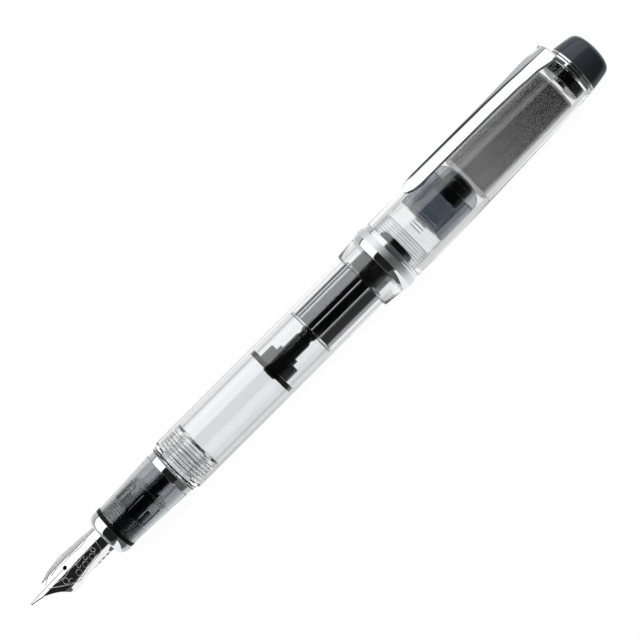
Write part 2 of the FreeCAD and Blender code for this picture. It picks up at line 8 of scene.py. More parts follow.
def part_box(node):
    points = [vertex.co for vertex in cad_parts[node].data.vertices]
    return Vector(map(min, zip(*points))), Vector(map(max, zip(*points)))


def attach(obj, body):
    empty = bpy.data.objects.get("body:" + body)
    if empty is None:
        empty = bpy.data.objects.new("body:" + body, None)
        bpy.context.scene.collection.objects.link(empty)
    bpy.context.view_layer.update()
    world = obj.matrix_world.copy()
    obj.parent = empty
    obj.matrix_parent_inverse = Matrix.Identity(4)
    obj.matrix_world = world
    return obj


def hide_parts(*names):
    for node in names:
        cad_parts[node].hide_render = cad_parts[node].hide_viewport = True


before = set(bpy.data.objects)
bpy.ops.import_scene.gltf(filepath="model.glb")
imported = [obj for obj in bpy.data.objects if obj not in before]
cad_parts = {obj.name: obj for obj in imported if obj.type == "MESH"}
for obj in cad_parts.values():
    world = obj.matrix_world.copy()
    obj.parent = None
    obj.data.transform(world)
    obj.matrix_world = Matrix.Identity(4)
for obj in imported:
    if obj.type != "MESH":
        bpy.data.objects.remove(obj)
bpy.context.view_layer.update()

# A clear fountain pen lying with its cap posted.  Lengths in this file are in
# millimetres along the pen (x) and from the pen's axis (radius), and are turned
# into metres when a mesh is made.
MM = 0.001

band_low, band_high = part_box("cap_band")
AXIS_HEIGHT = (band_low.z + band_high.z) / 2 / MM
NIB_ROLL = math.radians(23.0)
AROUND = 192                    # facets round a turned piece


# --------------------------------------------------------------------- camera
CAMERA_ELEVATION = math.radians(41.0)
CAMERA_DISTANCE = 330.0
CAMERA_LENS = 109.5
CAMERA_AIM_X = 1.65
CAMERA_AIM_RISE = 0.32


def make_camera():
    """Looks square at the pen's middle, rolled so that the pen runs up to the right at 45 degrees."""
    back = Vector((0, -math.cos(CAMERA_ELEVATION), math.sin(CAMERA_ELEVATION)))
    rise = Vector((0, math.sin(CAMERA_ELEVATION), math.cos(CAMERA_ELEVATION)))
    along = Vector((1, 0, 0))
    right = (along - rise).normalized()
    up = (along + rise).normalized()
    aim = Vector((CAMERA_AIM_X, 0, AXIS_HEIGHT)) + rise * CAMERA_AIM_RISE
    data = bpy.data.cameras.new("camera")
    data.lens = CAMERA_LENS
    data.clip_start = 0.01
    data.clip_end = 20.0
    camera = bpy.data.objects.new("camera", data)
    bpy.context.scene.collection.objects.link(camera)
    camera.matrix_world = Matrix((
        (right.x, up.x, back.x, 0),
        (right.y, up.y, back.y, 0),
        (right.z, up.z, back.z, 0),
        (0, 0, 0, 1),
    ))
    camera.location = (aim + back * CAMERA_DISTANCE) * MM
    bpy.context.scene.camera = camera


# ------------------------------------------------------------ world and floor
# Brightness of the studio round the pen.  The angle, in degrees, goes up from
# the horizon in front of the pen (0) over the top (90) to the horizon behind it
# (180); below the table it runs from -180 behind, through -90, back to the front.
STUDIO = [
    (-180.0, 0.80),
    (-74.0, 0.80),
    (-60.0, 0.14),
    (-4.0, 0.14),
    (3.0, 0.02),
    (68.0, 0.02),
    (72.0, 1.6),
    (136.0, 1.6),
    (138.0, 0.02),
    (141.0, 0.02),
    (143.0, 0.68),
    (180.0, 0.80),
]
STUDIO_ENDS = 0.45
STUDIO_PEAK = 1.6

# White boards at table height, as (x from, x to, y from, y to) in millimetres: a
# large one that reaches from just in front of the pen's axis to far behind it,
# and two small ones that light the nib and the cap band from in front.
BOARDS = [
    (-3000.0, 3000.0, -2.3, 3000.0),
    (-65.4, -52.4, -60.0, -2.3),
    (14.4, 20.0, -70.0, -2.3),
]


def node(tree, kind, **values):
    made = tree.nodes.new(kind)
    for key, value in values.items():
        setattr(made, key, value)
    return made


def math_node(tree, operation, first, second=None):
    made = node(tree, "ShaderNodeMath", operation=operation)
    for socket, value in zip(made.inputs, (first, second)):
        if value is None:
            continue
        if isinstance(value, (int, float)):
            socket.default_value = value
        else:
            tree.links.new(value, socket)
    return made.outputs[0]


def make_world():
    """A dark room behind the camera, a broad soft box overhead and a light wall beyond."""
    world = bpy.data.worlds.new("studio")
    bpy.context.scene.world = world
    world.use_nodes = True
    tree = world.node_tree
    tree.nodes.clear()
    coords = node(tree, "ShaderNodeTexCoord")
    parts = node(tree, "ShaderNodeSeparateXYZ")
    tree.links.new(coords.outputs["Generated"], parts.inputs[0])
    toward = math_node(tree, "MULTIPLY", parts.outputs["Y"], -1.0)
    angle = math_node(tree, "ARCTAN2", parts.outputs["Z"], toward)
    turn = math_node(tree, "ADD", math_node(tree, "DIVIDE", angle, 2 * math.pi), 0.5)
    ramp = node(tree, "ShaderNodeValToRGB")
    tree.links.new(turn, ramp.inputs[0])
    stops = ramp.color_ramp.elements
    while len(stops) < len(STUDIO):
        stops.new(0.5)
    for stop, (degrees, level) in zip(stops, STUDIO):
        share = level / STUDIO_PEAK
        stop.position = degrees / 360.0 + 0.5
        stop.color = (share, share, share, 1)
    bright = math_node(tree, "MULTIPLY", ramp.outputs["Color"], STUDIO_PEAK)
    # towards the two ends of the pen the studio fades to a plain grey
    endness = math_node(tree, "ABSOLUTE", parts.outputs["X"])
    spread = node(tree, "ShaderNodeMapRange")
    spread.inputs["From Min"].default_value = 0.80
    spread.inputs["From Max"].default_value = 0.97
    tree.links.new(endness, spread.inputs["Value"])
    keep = math_node(tree, "SUBTRACT", 1.0, spread.outputs["Result"])
    middle = math_node(tree, "MULTIPLY", bright, keep)
    ends = math_node(tree, "MULTIPLY", spread.outputs["Result"], STUDIO_ENDS)
    level = math_node(tree, "ADD", middle, ends)
    seen = node(tree, "ShaderNodeBackground")
    seen.inputs["Color"].default_value = (1, 1, 1, 1)
    lit = node(tree, "ShaderNodeBackground")
    tree.links.new(level, lit.inputs["Strength"])
    path = node(tree, "ShaderNodeLightPath")
    mix = node(tree, "ShaderNodeMixShader")
    out = node(tree, "ShaderNodeOutputWorld")
    tree.links.new(path.outputs["Is Camera Ray"], mix.inputs[0])
    tree.links.new(lit.outputs[0], mix.inputs[1])
    tree.links.new(seen.outputs[0], mix.inputs[2])
    tree.links.new(mix.outputs[0], out.inputs["Surface"])


def make_floor():
    """Glowing white boards, as in a light tent, that take only a trace of shadow."""
    material = bpy.data.materials.new("board_white")
    material.use_nodes = True
    tree = material.node_tree
    tree.nodes.clear()
    glow = node(tree, "ShaderNodeEmission")
    glow.inputs["Color"].default_value = (1, 1, 1, 1)
    glow.inputs["Strength"].default_value = 0.97
    matt = node(tree, "ShaderNodeBsdfDiffuse")
    matt.inputs["Color"].default_value = (0.06, 0.06, 0.06, 1)
    both = node(tree, "ShaderNodeAddShader")
    out = node(tree, "ShaderNodeOutputMaterial")
    tree.links.new(glow.outputs[0], both.inputs[0])
    tree.links.new(matt.outputs[0], both.inputs[1])
    tree.links.new(both.outputs[0], out.inputs["Surface"])
    for number, (x0, x1, y0, y1) in enumerate(BOARDS):
        corners = [(x0, y0), (x1, y0), (x1, y1), (x0, y1)]
        mesh = bpy.data.meshes.new("board")
        mesh.from_pydata([(x * MM, y * MM, 0) for x, y in corners], [], [(0, 1, 2, 3)])
        mesh.materials.append(material)
        board = bpy.data.objects.new(f"board_{number}", mesh)
        bpy.context.scene.collection.objects.link(board)


# ------------------------------------------------------------------ materials
def new_material(name):
    material = bpy.data.materials.new(name)
    material.use_nodes = True
    shader = material.node_tree.nodes["Principled BSDF"]
    return material, material.node_tree, shader


def object_coords(tree, stretch=(1, 1, 1)):
    """Coordinates in millimetres fixed to the piece, stretched along the pen if asked."""
    coords = node(tree, "ShaderNodeTexCoord")
    mapping = node(tree, "ShaderNodeMapping")
    mapping.inputs["Scale"].default_value = [1000 * s for s in stretch]
    tree.links.new(coords.outputs["Object"], mapping.inputs["Vector"])
    return mapping.outputs["Vector"]


def noise(tree, vector, scale, detail=3.0):
    made = node(tree, "ShaderNodeTexNoise")
    made.inputs["Scale"].default_value = scale
    made.inputs["Detail"].default_value = detail
    tree.links.new(vector, made.inputs["Vector"])
    return made.outputs["Fac"]


def ranged(tree, value, low, high):
    made = node(tree, "ShaderNodeMapRange")
    made.inputs["From Min"].default_value = 0.3
    made.inputs["From Max"].default_value = 0.7
    made.inputs["To Min"].default_value = low
    made.inputs["To Max"].default_value = high
    tree.links.new(value, made.inputs["Value"])
    return made.outputs["Result"]


def tinted(tree, value, dark, light):
    made = node(tree, "ShaderNodeMix", data_type="RGBA")
    made.inputs[6].default_value = (*dark, 1)
    made.inputs[7].default_value = (*light, 1)
    tree.links.new(value, made.inputs[0])
    return made.outputs[2]


def bumped(tree, shader, height, strength, distance):
    made = node(tree, "ShaderNodeBump")
    made.inputs["Strength"].default_value = strength
    made.inputs["Distance"].default_value = distance * MM
    tree.links.new(height, made.inputs["Height"])
    tree.links.new(made.outputs["Normal"], shader.inputs["Normal"])


def along_pen(tree):
    """Distance along the pen in millimetres."""
    parts = node(tree, "ShaderNodeSeparateXYZ")
    tree.links.new(object_coords(tree), parts.inputs[0])
    return parts.outputs["X"]


def between(tree, value, low, high):
    return math_node(tree, "MULTIPLY", math_node(tree, "GREATER_THAN", value, low),
                     math_node(tree, "LESS_THAN", value, high))


def shade_rings(tree, runs):
    """Mask for painted shade lines: 1 on fine rings round the pen, else 0.  A run is (from x, to x, pitch,
    line width).
    """
    x = along_pen(tree)
    total = None
    for x0, x1, pitch, width in runs:
        step = math_node(tree, "FRACT", math_node(tree, "DIVIDE", math_node(tree, "SUBTRACT", x, x0), pitch))
        line = math_node(tree, "LESS_THAN", step, width / pitch)
        line = math_node(tree, "MULTIPLY", line, between(tree, x, x0, x1))
        total = line if total is None else math_node(tree, "MAXIMUM", total, line)
    return total


def plastic_glass(name, dark, light, rough, lines=None, shade_color=(0.12, 0.12, 0.13), fade=None, ior=1.49):
    """Transparent polymer: a faint moulding flow in its tint and a nearly perfect polish.

    lines adds rings of painted shade where the edges of fine threads darken; fade is (x, x, factor), a colour
    that darkens along the pen.
    """
    material, tree, shader = new_material(name)
    vector = object_coords(tree, (0.35, 1, 1))
    color = tinted(tree, noise(tree, vector, 0.55), dark, light)
    if fade:
        ramp = node(tree, "ShaderNodeMapRange")
        ramp.inputs["From Min"].default_value = fade[0]
        ramp.inputs["From Max"].default_value = fade[1]
        tree.links.new(along_pen(tree), ramp.inputs["Value"])
        deeper = [c * fade[2] for c in dark]
        mix = node(tree, "ShaderNodeMix", data_type="RGBA")
        tree.links.new(ramp.outputs["Result"], mix.inputs[0])
        tree.links.new(color, mix.inputs[6])
        mix.inputs[7].default_value = (*deeper, 1)
        color = mix.outputs[2]
    if lines:
        mix = node(tree, "ShaderNodeMix", data_type="RGBA")
        tree.links.new(shade_rings(tree, lines), mix.inputs[0])
        tree.links.new(color, mix.inputs[6])
        mix.inputs[7].default_value = (*shade_color, 1)
        color = mix.outputs[2]
    tree.links.new(color, shader.inputs["Base Color"])
    fine = noise(tree, object_coords(tree), 6.0, 2.0)
    tree.links.new(ranged(tree, fine, rough[0], rough[1]), shader.inputs["Roughness"])
    shader.inputs["Transmission Weight"].default_value = 1.0
    shader.inputs["IOR"].default_value = ior
    return material


def polished_metal(name, dark, light, rough, ripple=0.0):
    material, tree, shader = new_material(name)
    vector = object_coords(tree, (0.25, 1, 1))
    cloud = noise(tree, vector, 0.8)
    tree.links.new(tinted(tree, cloud, dark, light), shader.inputs["Base Color"])
    scuff = noise(tree, object_coords(tree, (0.2, 3, 3)), 3.0, 5.0)
    tree.links.new(ranged(tree, scuff, rough[0], rough[1]), shader.inputs["Roughness"])
    shader.inputs["Metallic"].default_value = 1.0
    if ripple:
        bumped(tree, shader, scuff, 0.15, ripple)
    return material


def angle_round_pen(tree):
    """Angle about the pen's axis in degrees, going up from the side that faces -Y."""
    parts = node(tree, "ShaderNodeSeparateXYZ")
    tree.links.new(object_coords(tree), parts.inputs[0])
    height = math_node(tree, "SUBTRACT", parts.outputs["Z"], AXIS_HEIGHT)
    toward = math_node(tree, "MULTIPLY", parts.outputs["Y"], -1.0)
    return math_node(tree, "MULTIPLY", math_node(tree, "ARCTAN2", height, toward), 180 / math.pi)


def reflection_painted_metal(name, bands, rough):
    """Metal with painted reflections: its colour runs evenly from each (degrees round the pen, level) to the
    next, in lengthwise bands of light and dark.
    """
    material, tree, shader = new_material(name)
    turn = math_node(tree, "ADD", math_node(tree, "DIVIDE", angle_round_pen(tree), 360.0), 0.5)
    ramp = node(tree, "ShaderNodeValToRGB")
    tree.links.new(turn, ramp.inputs[0])
    stops = ramp.color_ramp.elements
    while len(stops) < len(bands):
        stops.new(0.5)
    for stop, (degrees, level) in zip(stops, bands):
        stop.position = degrees / 360.0 + 0.5
        stop.color = (level, level, level * 1.02, 1)
    tree.links.new(ramp.outputs["Color"], shader.inputs["Base Color"])
    scuff = noise(tree, object_coords(tree, (0.2, 3, 3)), 3.0, 5.0)
    tree.links.new(ranged(tree, scuff, rough[0], rough[1]), shader.inputs["Roughness"])
    shader.inputs["Metallic"].default_value = 1.0
    return material


def frosted_band(name, color, x0, x1):
    """Bright metal, frosted between x0 and x1."""
    material, tree, shader = new_material(name)
    cloud = noise(tree, object_coords(tree), 5.0, 4.0)
    darker = [c * 0.9 for c in color]
    tree.links.new(tinted(tree, cloud, darker, color), shader.inputs["Base Color"])
    inside = between(tree, along_pen(tree), x0, x1)
    grit = ranged(tree, cloud, 0.38, 0.55)
    rough = math_node(tree, "ADD", math_node(tree, "MULTIPLY", inside, grit), 0.025)
    tree.links.new(rough, shader.inputs["Roughness"])
    shader.inputs["Metallic"].default_value = 1.0
    return material


def solid_plastic(name, dark, light, rough, grain=0.0, gloss=0.5):
    material, tree, shader = new_material(name)
    vector = object_coords(tree)
    cloud = noise(tree, vector, 1.2)
    tree.links.new(tinted(tree, cloud, dark, light), shader.inputs["Base Color"])
    fine = noise(tree, vector, 8.0, 4.0)
    tree.links.new(ranged(tree, fine, rough[0], rough[1]), shader.inputs["Roughness"])
    shader.inputs["Specular IOR Level"].default_value = gloss
    if grain:
        bumped(tree, shader, fine, 0.3, grain)
    return material


CLEAR = ((0.955, 0.96, 0.965), (0.985, 0.985, 0.985), (0.0, 0.01))
# Rings of painted shade in the clear barrel's thread and on the feed housing's ribs, each (from x, to x,
# pitch, line width).
BARREL_THREAD_SHADE = [(19.15, 22.3, 0.50, 0.06)]
HOUSING_RIB_SHADE = [(-47.1, -44.2, 0.50, 0.12), (-43.7, -43.5, 0.2, 0.1), (-39.6, -39.4, 0.2, 0.1)]
# Lengthwise bands of painted reflection on the converter's sleeve, standing in for the studio's reflections
# in its metal:
# dark on the side that faces -Y, with bright streaks near its top, and bright beyond them.
SLEEVE_PAINTED_REFLECTIONS = [
    (-180.0, 0.30), (-14.0, 0.60), (-9.0, 0.20), (55.0, 0.15), (79.0, 0.17), (81.0, 0.50), (85.0, 0.50),
    (87.0, 0.06), (90.0, 0.06), (91.5, 0.85), (96.5, 0.85), (98.0, 0.01), (105.0, 0.01), (107.0, 0.90),
]
MATERIALS = {
    "clear_plastic": plastic_glass("clear_plastic", *CLEAR),
    "clear_thread": plastic_glass("clear_thread", *CLEAR, ior=1.15),
    "clear_barrel": plastic_glass(
        "clear_barrel", *CLEAR, lines=BARREL_THREAD_SHADE, shade_color=(0.4, 0.4, 0.41)),
    "smoke_plastic": plastic_glass(
        "smoke_plastic", (0.53, 0.54, 0.555), (0.58, 0.59, 0.605), (0.0, 0.012)),
    "smoke_inner": plastic_glass(
        "smoke_inner", (0.66, 0.67, 0.70), (0.72, 0.73, 0.76), (0.0, 0.015),
        lines=HOUSING_RIB_SHADE, shade_color=(0.08, 0.08, 0.09)),
    "smoke_liner": plastic_glass(
        "smoke_liner", (0.42, 0.415, 0.415), (0.45, 0.445, 0.445), (0.0, 0.01),
        fade=(38.0, 58.0, 0.58), ior=1.12),
    "blue_grey_dark": plastic_glass(
        "blue_grey_dark", (0.27, 0.30, 0.33), (0.33, 0.36, 0.40), (0.0, 0.012)),
    "blue_grey_plastic": plastic_glass(
        "blue_grey_plastic", (0.46, 0.48, 0.50), (0.52, 0.54, 0.56), (0.0, 0.012)),
    "navy_plastic": solid_plastic(
        "navy_plastic", (0.058, 0.068, 0.086), (0.072, 0.084, 0.104), (0.05, 0.10), gloss=0.3),
    "black_plastic": solid_plastic(
        "black_plastic", (0.004, 0.004, 0.005), (0.008, 0.008, 0.009), (0.10, 0.20), grain=0.001),
    "seal_rubber": solid_plastic(
        "seal_rubber", (0.003, 0.003, 0.003), (0.006, 0.006, 0.006), (0.40, 0.52), grain=0.002, gloss=0.15),
    "nib_steel": polished_metal(
        "nib_steel", (0.84, 0.84, 0.85), (0.90, 0.90, 0.91), (0.03, 0.07), ripple=0.001),
    "polished_chrome": polished_metal(
        "polished_chrome", (0.80, 0.81, 0.82), (0.86, 0.87, 0.88), (0.015, 0.04)),
    "sleeve_metal": reflection_painted_metal("sleeve_metal", SLEEVE_PAINTED_REFLECTIONS, (0.02, 0.03)),
    "band_chrome": frosted_band("band_chrome", (0.86, 0.87, 0.88), 16.45, 17.75),
    "engraving": polished_metal("engraving", (0.80, 0.80, 0.81), (0.90, 0.90, 0.91), (0.35, 0.5)),
}


# ----------------------------------------------------------------- mesh tools
def finish_piece(mesh, name, body, material, replaces, sharp=35.0):
    mesh.update()
    mesh.polygons.foreach_set("use_smooth", [True] * len(mesh.polygons))
    mesh.set_sharp_from_angle(angle=math.radians(sharp))
    mesh.materials.append(MATERIALS[material])
    piece = bpy.data.objects.new(name, mesh)
    bpy.context.scene.collection.objects.link(piece)
    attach(piece, body)
    if replaces:
        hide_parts(*replaces)
    return piece


def eased(profile, radius, steps=3):
    """The closed outline with each real corner rounded a little, as moulded and turned edges are."""
    points = [Vector(p) for p in profile]
    count = len(points)
    result = []
    for i, here in enumerate(points):
        before = points[i - 1] - here
        after = points[(i + 1) % count] - here
        on_axis = here.y < 1e-6
        if on_axis or before.length < 1e-6 or after.length < 1e-6:
            result.append(here)
            continue
        straight = before.normalized().dot(after.normalized())
        if straight < -0.94:
            result.append(here)
            continue
        reach = min(radius, 0.4 * before.length, 0.4 * after.length)
        start = here + before.normalized() * reach
        end = here + after.normalized() * reach
        for step in range(steps + 1):
            t = step / steps
            result.append(start * (1 - t) ** 2 + here * 2 * t * (1 - t) + end * t ** 2)
    return result


def curve_through(points, per_span=6):
    """A smooth line through the points (Catmull-Rom)."""
    ends = [Vector(p) for p in points]
    ends = [ends[0] * 2 - ends[1]] + ends + [ends[-1] * 2 - ends[-2]]
    line = []
    for a, b, c, d in zip(ends, ends[1:], ends[2:], ends[3:]):
        for step in range(per_span):
            t = step / per_span
            line.append(0.5 * (2 * b + (c - a) * t + (2 * a - 5 * b + 4 * c - d) * t ** 2
                               + (3 * b - a - 3 * c + d) * t ** 3))
    line.append(ends[-2])
    return line


def turned_mesh(name, outline, around=AROUND):
    """A closed outline of (x, radius) points turned about the pen's axis."""
    bm = bmesh.new()
    rings = []
    for x, radius in outline:
        if radius < 1e-6:
            rings.append([bm.verts.new((x * MM, 0, AXIS_HEIGHT * MM))])
            continue
        ring = []
        for i in range(around):
            angle = 2 * math.pi * i / around
            ring.append(bm.verts.new((
                x * MM,
                radius * math.cos(angle) * MM,
                (AXIS_HEIGHT + radius * math.sin(angle)) * MM,
            )))
        rings.append(ring)
    for ring, following in zip(rings, rings[1:] + rings[:1]):
        if len(ring) == 1 and len(following) == 1:
            continue
        for i in range(around):
            j = (i + 1) % around
            if len(ring) == 1:
                bm.faces.new((ring[0], following[j], following[i]))
            elif len(following) == 1:
                bm.faces.new((ring[i], ring[j], following[0]))
            else:
                bm.faces.new((ring[i], ring[j], following[j], following[i]))
    bmesh.ops.recalc_face_normals(bm, faces=bm.faces)
    mesh = bpy.data.meshes.new(name)
    bm.to_mesh(mesh)
    bm.free()
    return mesh


def turned(name, outline, body, material, replaces, ease=0.06, sharp=35.0, around=AROUND):
    mesh = turned_mesh(name, eased(outline, ease) if ease else outline, around)
    return finish_piece(mesh, name, body, material, replaces, sharp)


def ridges(x0, x1, pitch, root, crest):
    """The flat-topped zigzag of a fine thread, as (x, radius) points."""
    points = []
    for i in range(int((x1 - x0) / pitch)):
        start = x0 + i * pitch
        points.append((start, root))
        points.append((start + 0.35 * pitch, crest))
        points.append((start + 0.60 * pitch, crest))
        points.append((start + 0.95 * pitch, root))
    return points


def keep_cad(node_name, material, sharp=35.0):
    """A CAD node whose shape is right: it gets its material and smooth shading."""
    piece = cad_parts[node_name]
    piece.data.polygons.foreach_set("use_smooth", [True] * len(piece.data.polygons))
    piece.data.set_sharp_from_angle(angle=math.radians(sharp))
    piece.data.materials.clear()
    piece.data.materials.append(MATERIALS[material])


def around_axis(x, radius, angle):
    """A point in metres; the angle goes up from the side that faces -Y."""
    return Vector((x * MM, -radius * math.cos(angle) * MM, (AXIS_HEIGHT + radius * math.sin(angle)) * MM))


def bead(name, paths, radius, body, material, sides=8):
    """Thin round wires along lists of points in metres."""
    bm = bmesh.new()
    for path in paths:
        closed = (path[0] - path[-1]).length < 1e-7
        line = path[:-1] if closed else path
        rings = []
        for i, here in enumerate(line):
            before = line[i - 1] if closed or i > 0 else here
            after = line[(i + 1) % len(line)] if closed or i + 1 < len(line) else here
            forward = (after - before).normalized()
            side = forward.cross(Vector((0.13, 0.31, 0.94))).normalized()
            lift = forward.cross(side)
            ring = []
            for k in range(sides):
                turn = 2 * math.pi * k / sides
                out = side * math.cos(turn) + lift * math.sin(turn)
                ring.append(bm.verts.new(here + out * radius * MM))
            rings.append(ring)
        pairs = list(zip(rings, rings[1:]))
        if closed:
            pairs.append((rings[-1], rings[0]))
        else:
            bm.faces.new(rings[0][::-1])
            bm.faces.new(rings[-1])
        for ring, following in pairs:
            for k in range(sides):
                j = (k + 1) % sides
                bm.faces.new((ring[k], ring[j], following[j], following[k]))
    bmesh.ops.recalc_face_normals(bm, faces=bm.faces)
    mesh = bpy.data.meshes.new(name)
    bm.to_mesh(mesh)
    bm.free()
    return finish_piece(mesh, name, body, material, [])


def edges(name, radius, lengthwise, arcs, width, body, material):
    """Beads along moulded edges on a cylinder, which in black are painted shade along those edges: lengthwise
    (x, x, degrees) and arcs (x, degrees, degrees).
    """
    paths = []
    for x0, x1, degrees in lengthwise:
        paths.append([around_axis(x0 + (x1 - x0) * i / 6, radius, math.radians(degrees)) for i in range(7)])
    for x, first, last in arcs:
        steps = max(3, int(abs(last - first) / 5))
        turns = [first + (last - first) * i / steps for i in range(steps + 1)]
        paths.append([around_axis(x, radius, math.radians(turn)) for turn in turns])
    bead(name, paths, width, body, material)


# -------------------------------------------------------------------- section
def make_section():
    front = curve_through([(-50.0, 3.72), (-49.8, 3.98), (-49.3, 4.26), (-48.6, 4.39), (-47.95, 4.33)])
    turned("front_ring", [tuple(p) for p in front] + [(-47.95, 2.95), (-50.0, 2.95)],
           "section", "polished_chrome", ["front_ring"], ease=0.05)
    turned("section_ring", [(-47.93, 2.95), (-47.93, 4.26), (-47.27, 4.26), (-47.27, 2.95)],
           "section", "seal_rubber", ["section_ring"], ease=0.12)
    grip = curve_through([(-47.25, 4.24), (-45.8, 4.20), (-42.4, 4.34), (-39.0, 4.53), (-35.2, 4.68)], 10)
    turned("grip_shell", [tuple(p) for p in grip] + [(-35.2, 3.50), (-47.25, 3.50)],
           "section", "smoke_plastic", ["grip_shell"])
    turned("section_collar", [(-35.18, 3.50), (-35.18, 4.68), (-34.6, 4.71), (-33.9, 4.74), (-33.9, 3.50)],
           "section", "polished_chrome", ["section_collar"])
    thread = [(-33.88, 1.20), (-33.88, 4.76), (-33.2, 4.86), (-32.75, 5.17), (-32.46, 5.20), (-32.46, 4.36)]
    thread += ridges(-31.9, -29.15, 0.68, 4.36, 4.66)
    thread += [(-28.95, 4.26), (-28.95, 3.50), (-33.5, 3.50), (-33.5, 2.10), (-30.6, 2.10), (-30.6, 1.20)]
    turned("section_thread", thread, "section", "clear_thread",
           ["section_thread"], ease=0.05)
    # black rings on the thread's crests and on its shoulder: painted shade for the dark lines the clear
    # thread shows
    edges("thread_crest_shade", 4.64, [], [(x, 0, 360) for x in (-31.9, -31.2, -30.55, -29.9, -29.2)], 0.055,
          "section", "black_plastic")
    edges("thread_shoulder_shade", 4.84, [], [(-33.75, 0, 360), (-33.3, 0, 360), (-33.2, 0, 360)], 0.07,
          "section", "black_plastic")
    keep_cad("feed_housing", "smoke_inner")
    # black lines along the edges of the housing's windows: painted shade
    window_sides = [(-43.9, -39.9, 79), (-43.9, -40.1, 100), (-43.9, -39.9, 109), (-43.9, -40.0, -15)]
    window_ends = [(-39.9, 79, 109), (-41.1, 79, 92), (-40.3, 79, 92)]
    edges("housing_window_shade", 3.47, window_sides, window_ends, 0.07,
          "section", "black_plastic")
    rib_lines = [(-44.3, -41.2, -3), (-39.1, -37.4, 50), (-39.1, -37.4, 16), (-39.1, -37.4, 10)]
    rib_arcs = [(-47.0 + 0.45 * i, -60, 90) for i in range(7)] + [(-39.2, -60, 70)]
    edges("housing_ribs", 3.47, rib_lines, rib_arcs, 0.05,
          "section", "polished_chrome")
    keep_cad("feed", "black_plastic")


# ------------------------------------------------------------------ converter
SLEEVE_GAP_ANGLE = math.radians(30.0)
SLEEVE_GAP_HALF = 0.90
SLEEVE_RIM_RADIUS = 4.26
SLEEVE_RIM_X = (-0.55, 11.4)
SLEEVE_LIP_X = -0.62


def sleeve_rim():
    """The bright edges along the gap in the converter's sleeve, and across its front end."""
    radius = SLEEVE_RIM_RADIUS
    front, back = SLEEVE_RIM_X
    lean = math.asin(SLEEVE_GAP_HALF / radius)
    upper = SLEEVE_GAP_ANGLE + lean
    lower = SLEEVE_GAP_ANGLE - lean
    path = [around_axis(back, radius, upper), around_axis(front, radius, upper)]
    path += [around_axis(SLEEVE_LIP_X, radius, upper - (upper - lower) * i / 8) for i in range(9)]
    low_edge = [around_axis(x, radius + 0.06, lower) for x in SLEEVE_RIM_X]
    bead("sleeve_rim", [path], 0.13, "section", "polished_chrome")
    bead("sleeve_rim_low", [low_edge], 0.19, "section", "polished_chrome", sides=16)


def make_converter():
    reservoir = [
        (-33.4, 2.60), (-33.4, 3.30), (-29.6, 3.30), (-28.8, 3.42), (-28.8, 4.45), (-28.63, 4.62),
        (-0.64, 4.62), (-0.52, 4.50), (-0.52, 3.95), (0.9, 3.95), (0.9, 3.73), (-0.9, 3.73),
        (-1.0, 3.85), (-27.5, 3.85), (-27.9, 2.60),
    ]
    turned("converter_reservoir", reservoir, "section", "clear_plastic",
           ["converter_reservoir"])
    # the sleeve's metal carries painted reflections: bands of light and dark round the pen in its colour
    keep_cad("converter_sleeve", "sleeve_metal", 20)
    sleeve_rim()
    lip = 3.87
    seal = [
        (-10.65, 1.32), (-10.65, lip - 0.05), (-10.6, lip), (-9.75, lip), (-9.70, lip - 0.05), (-9.70, 1.32),
    ]
    turned("piston_seal", seal, "piston", "seal_rubber", ["piston_seal"], ease=0.02)
    holder = [
        (-11.0, 0.0), (-11.0, 1.10), (-10.8, 1.30), (-9.68, 1.30), (-9.68, 3.02), (-9.5, 3.14), (-7.05, 3.14),
        (-6.9, 2.99), (-6.9, 2.00), (-5.9, 2.00), (-5.9, 1.20), (-8.0, 1.20), (-8.0, 0.0),
    ]
    turned("piston_holder", holder, "piston", "black_plastic", ["piston_holder"], ease=0.08)
    rod = [
        (-7.9, 1.0), (-7.9, 1.18), (-5.88, 1.18), (-5.88, 1.50), (-2.6, 1.50), (-2.2, 1.24), (-1.9, 1.24),
        (-1.4, 1.57), (17.6, 1.57), (17.6, 1.0),
    ]
    turned("piston_rod", rod, "piston", "black_plastic", ["piston_rod"], ease=0.08)
    keep_cad("converter_mouth", "clear_plastic")
    keep_cad("guide_bush", "black_plastic")
    keep_cad("converter_knob", "black_plastic")
    keep_cad("drive_screw", "black_plastic")


# --------------------------------------------------------------------- barrel
def make_barrel():
    outline = [(-32.4, 5.20), (-32.3, 5.25), (11.0, 5.25), (25.2, 4.92), (25.2, 2.95)]
    outline += ridges(25.5, 30.8, 0.60, 2.95, 3.20)
    outline += [(30.8, 2.95), (30.8, 0.0), (22.3, 0.0), (22.3, 4.40)]
    outline += list(reversed(ridges(19.2, 22.2, 0.50, 4.42, 4.45)))
    outline += [(19.1, 4.42), (12.5, 4.72), (-32.4, 4.72)]
    turned("barrel", outline, "barrel", "clear_barrel", ["barrel"], ease=0.04)
    turned("tail_sleeve", [(25.5, 3.22), (25.5, 4.88), (32.8, 4.88), (32.8, 3.22)],
           "barrel", "blue_grey_dark", ["tail_sleeve"], ease=0.08)
    plug = [(32.82, 2.65), (32.82, 4.80), (32.9, 4.88)]
    for i in range(1, 13):
        angle = math.pi / 2 * i / 12
        plug.append((33.2 + 2.7 * math.sin(angle), 1.6 + 3.28 * math.cos(angle)))
    plug += [(35.9, 0.0), (35.22, 0.0), (35.22, 2.65)]
    turned("tail_plug", plug, "barrel", "blue_grey_plastic", ["tail_plug"], ease=0.06)
    keep_cad("tail_core", "black_plastic", 20)
    # black arcs on the barrel's end threads: painted shade for their dark crest lines
    edges("barrel_end_crest_shade", 3.0, [], [(x, 20, 58) for x in (23.7, 24.35, 24.9, 25.1)], 0.06,
          "barrel", "black_plastic")


